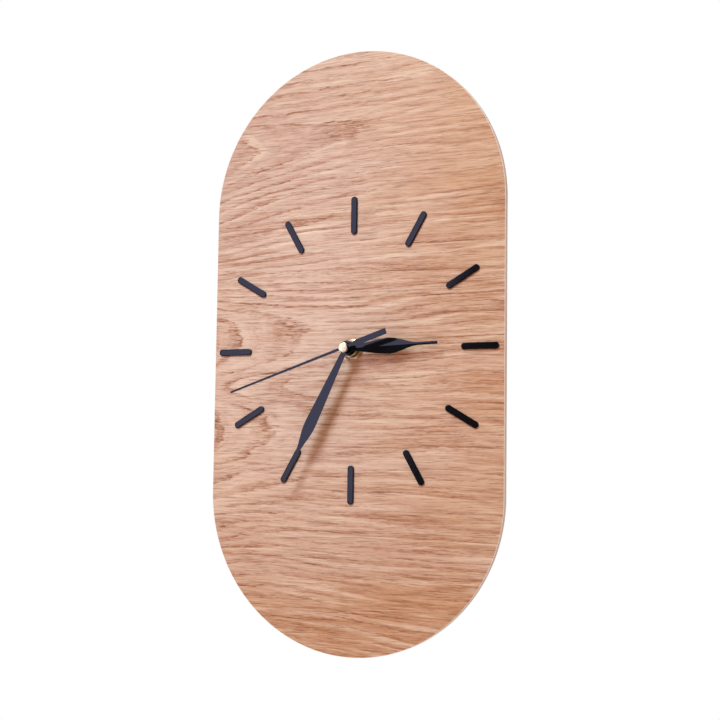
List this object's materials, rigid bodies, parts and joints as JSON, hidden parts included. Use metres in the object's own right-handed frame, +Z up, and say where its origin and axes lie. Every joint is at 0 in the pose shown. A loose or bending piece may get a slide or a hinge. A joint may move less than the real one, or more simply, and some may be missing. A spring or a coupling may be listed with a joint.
{
  "type": "wall clock",
  "caption": "Tall round-ended wooden wall clock with bar hour marks, leaf hour and minute hands, a needle second hand and a geared quartz movement with a hanger behind the panel.",
  "frame": {"origin": "axis of the nail hole in the hanger, in the plane of the wall", "axes": "+Z up along the panel's height, +Y into the wall, so the dial faces -Y; +X to the right as seen from the front"},
  "size_m": [0.2, 0.0364, 0.38],
  "materials": {
    "oak_veneer": "oiled oak, fine horizontal grain",
    "panel_core": "sanded board edge",
    "back_veneer": "plain sanded veneer",
    "mark_black": "black, glossy",
    "hand_black": "black, satin",
    "brass": "turned and polished",
    "rubber": "matt",
    "case_plastic": "fine moulded texture",
    "wheel_plastic": "moulded",
    "knob_plastic": "ribbed",
    "steel": "drawn",
    "magnet": "sintered",
    "soft_iron": "annealed",
    "bobbin_plastic": "moulded",
    "copper": "enamelled copper wire",
    "board": "lacquered",
    "resin": "cast",
    "battery_wrap": "printed sleeve without lettering",
    "contact_brass": "rolled strip"
  },
  "bodies": {
    "clock_body": {"panel_core": "panel_core", "front_veneer": "oak_veneer", "back_veneer": "back_veneer", "hour_mark_01": "mark_black", "hour_mark_02": "mark_black", "hour_mark_03": "mark_black", "hour_mark_04": "mark_black", "hour_mark_05": "mark_black", "hour_mark_06": "mark_black", "hour_mark_07": "mark_black", "hour_mark_08": "mark_black", "hour_mark_09": "mark_black", "hour_mark_10": "mark_black", "hour_mark_11": "mark_black", "hour_mark_12": "mark_black", "brass_washer": "brass", "dial_nut": "brass", "rubber_washer": "rubber", "threaded_bush": "brass", "movement_case": "case_plastic", "case_cover": "case_plastic", "wheel_bridge": "wheel_plastic", "stator_plate": "soft_iron", "coil_core": "soft_iron", "coil_bobbin": "bobbin_plastic", "coil_winding": "copper", "circuit_board": "board", "timing_chip": "resin", "quartz_crystal": "steel", "battery": "battery_wrap", "positive_contact": "contact_brass", "negative_contact": "contact_brass"},
    "second_hand_body": {"second_hand": "hand_black", "second_hand_barrel": "hand_black", "second_hand_cap": "brass", "seconds_wheel": "wheel_plastic", "seconds_arbor": "steel"},
    "minute_hand_body": {"minute_hand": "hand_black", "minute_hand_collet": "hand_black", "centre_wheel": "wheel_plastic"},
    "hour_hand_body": {"hour_hand": "hand_black", "hour_hand_collet": "hand_black", "hour_wheel": "wheel_plastic"},
    "third_wheel_body": {"third_wheel": "wheel_plastic"},
    "intermediate_wheel_body": {"intermediate_wheel": "wheel_plastic"},
    "rotor_body": {"rotor_pinion": "wheel_plastic", "rotor_magnet": "magnet"},
    "setting_body": {"minute_wheel": "wheel_plastic", "setting_knob": "knob_plastic"}
  },
  "joints": [
    {"name": "second_hand_turn", "type": "hinge", "parent": "clock_body", "child": "second_hand_body", "pos_m": [0, 0, -0.033], "axis": [0, 1, 0], "continuous": true},
    {"name": "minute_hand_turn", "type": "hinge", "parent": "clock_body", "child": "minute_hand_body", "pos_m": [0, 0, -0.033], "axis": [0, 1, 0], "continuous": true},
    {"name": "hour_hand_turn", "type": "hinge", "parent": "clock_body", "child": "hour_hand_body", "pos_m": [0, 0, -0.033], "axis": [0, 1, 0], "continuous": true},
    {"name": "third_wheel_turn", "type": "hinge", "parent": "clock_body", "child": "third_wheel_body", "pos_m": [-0.00736, 0, -0.02875], "axis": [0, 1, 0], "continuous": true},
    {"name": "intermediate_wheel_turn", "type": "hinge", "parent": "clock_body", "child": "intermediate_wheel_body", "pos_m": [0.00658, 0, -0.03539], "axis": [0, 1, 0], "continuous": true},
    {"name": "rotor_turn", "type": "hinge", "parent": "clock_body", "child": "rotor_body", "pos_m": [0.01151, 0, -0.0332], "axis": [0, 1, 0], "continuous": true},
    {"name": "setting_knob_turn", "type": "hinge", "parent": "clock_body", "child": "setting_body", "pos_m": [0.0045, 0, -0.02521], "axis": [0, 1, 0], "continuous": true}
  ],
  "couplings": [
    {"joint": "rotor_turn", "follows": "second_hand_turn", "ratio": 30},
    {"joint": "intermediate_wheel_turn", "follows": "second_hand_turn", "ratio": -6},
    {"joint": "third_wheel_turn", "follows": "second_hand_turn", "ratio": -0.13333},
    {"joint": "minute_hand_turn", "follows": "second_hand_turn", "ratio": 0.016667},
    {"joint": "setting_knob_turn", "follows": "second_hand_turn", "ratio": -0.0055556},
    {"joint": "hour_hand_turn", "follows": "second_hand_turn", "ratio": 0.0013889}
  ]
}
